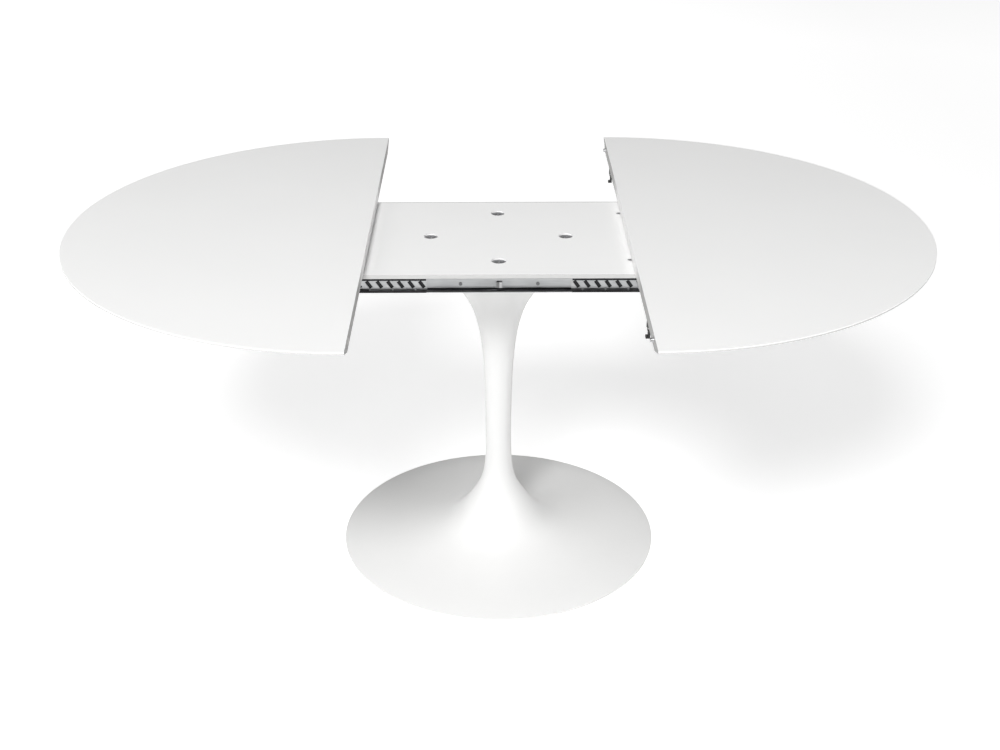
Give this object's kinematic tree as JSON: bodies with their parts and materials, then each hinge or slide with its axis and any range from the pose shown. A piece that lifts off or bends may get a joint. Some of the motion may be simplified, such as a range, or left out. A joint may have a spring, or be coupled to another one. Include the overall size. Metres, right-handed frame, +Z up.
{
  "type": "extending pedestal table",
  "caption": "Round pedestal dining table drawn open: half-round leaves slide apart on ball slides over a carrier on a flared one-piece foot, leaving a gap for an insert leaf.",
  "frame": {"origin": "on the floor under the pedestal's axis", "axes": "+X along the leaves' travel, -Y towards the front of the pictured view, +Z up"},
  "size_m": [1.7098, 1.2, 0.72],
  "materials": {
    "white_lacquer_board": "satin white lacquer on fibreboard",
    "white_lacquer_casting": "satin white lacquer on cast aluminium",
    "white_lacquer_plate": "satin white powder coat on steel plate",
    "cast_iron": "raw casting",
    "black_rubber": "matt black rubber",
    "grey_steel": "plain sheet steel",
    "painted_timber": "white painted timber",
    "zinc_channel": "bright zinc plated, greased raceways",
    "zinc_runner": "bright zinc plated",
    "zinc_cage": "zinc plated pressed sheet",
    "ball_steel": "polished hardened steel",
    "black_steel": "black oxide",
    "white_nylon": "moulded nylon",
    "bolt_steel": "dull zinc plated",
    "screw_steel": "zinc plated"
  },
  "bodies": {
    "base": {"ballast_bolts": "screw_steel", "ballast_ring": "cast_iron", "carrier_plate": "white_lacquer_plate", "carrier_rail_front": "painted_timber", "carrier_rail_rear": "painted_timber", "centre_stops": "black_rubber", "channel_screws": "screw_steel", "crossbar_left": "painted_timber", "crossbar_right": "painted_timber", "flange_bolts": "bolt_steel", "floor_ring": "black_rubber", "foot_cover": "grey_steel", "pedestal": "white_lacquer_casting", "plate_screws": "screw_steel", "slide_channel_front": "zinc_channel", "slide_channel_rear": "zinc_channel", "stop_screws": "screw_steel"},
    "left_leaf": {"left_bearer_front": "painted_timber", "left_bearer_rear": "painted_timber", "left_bearer_screws": "screw_steel", "left_leaf": "white_lacquer_board", "left_runner_front": "zinc_runner", "left_runner_rear": "zinc_runner", "left_runner_screws": "screw_steel", "keeper_front": "black_steel", "keeper_rear": "black_steel", "keeper_screws": "screw_steel", "pin_bushes": "white_nylon"},
    "right_leaf": {"right_bearer_front": "painted_timber", "right_bearer_rear": "painted_timber", "right_bearer_screws": "screw_steel", "right_leaf": "white_lacquer_board", "right_runner_front": "zinc_runner", "right_runner_rear": "zinc_runner", "right_runner_screws": "screw_steel", "catch_bracket_front": "black_steel", "catch_bracket_rear": "black_steel", "catch_screws": "screw_steel", "hook_pins": "screw_steel", "alignment_pins": "screw_steel"},
    "left_cages": {"left_cage_front": "zinc_cage", "left_cage_rear": "zinc_cage", "left_balls": "ball_steel"},
    "right_cages": {"right_cage_front": "zinc_cage", "right_cage_rear": "zinc_cage", "right_balls": "ball_steel"},
    "hook_front": {"catch_hook_front": "black_steel"},
    "hook_rear": {"catch_hook_rear": "black_steel"}
  },
  "joints": [
    {"name": "left_leaf_slide", "type": "slide", "parent": "base", "child": "left_leaf", "axis": [-1, 0, 0], "range_m": [-0.255, 0]},
    {"name": "right_leaf_slide", "type": "slide", "parent": "base", "child": "right_leaf", "axis": [1, 0, 0], "range_m": [-0.255, 0]},
    {"name": "left_cage_slide", "type": "slide", "parent": "base", "child": "left_cages", "axis": [-1, 0, 0], "range_m": [-0.1275, 0]},
    {"name": "right_cage_slide", "type": "slide", "parent": "base", "child": "right_cages", "axis": [1, 0, 0], "range_m": [-0.1275, 0]},
    {"name": "front_hook_swing", "type": "hinge", "parent": "right_leaf", "child": "hook_front", "pos_m": [0.2595, -0.426, 0.687], "axis": [0, 1, 0], "range_deg": [0, 90]},
    {"name": "rear_hook_swing", "type": "hinge", "parent": "right_leaf", "child": "hook_rear", "pos_m": [0.2595, 0.426, 0.687], "axis": [0, 1, 0], "range_deg": [0, 90]}
  ],
  "couplings": [
    {"joint": "left_cage_slide", "follows": "left_leaf_slide", "ratio": 0.5},
    {"joint": "right_cage_slide", "follows": "right_leaf_slide", "ratio": 0.5}
  ]
}
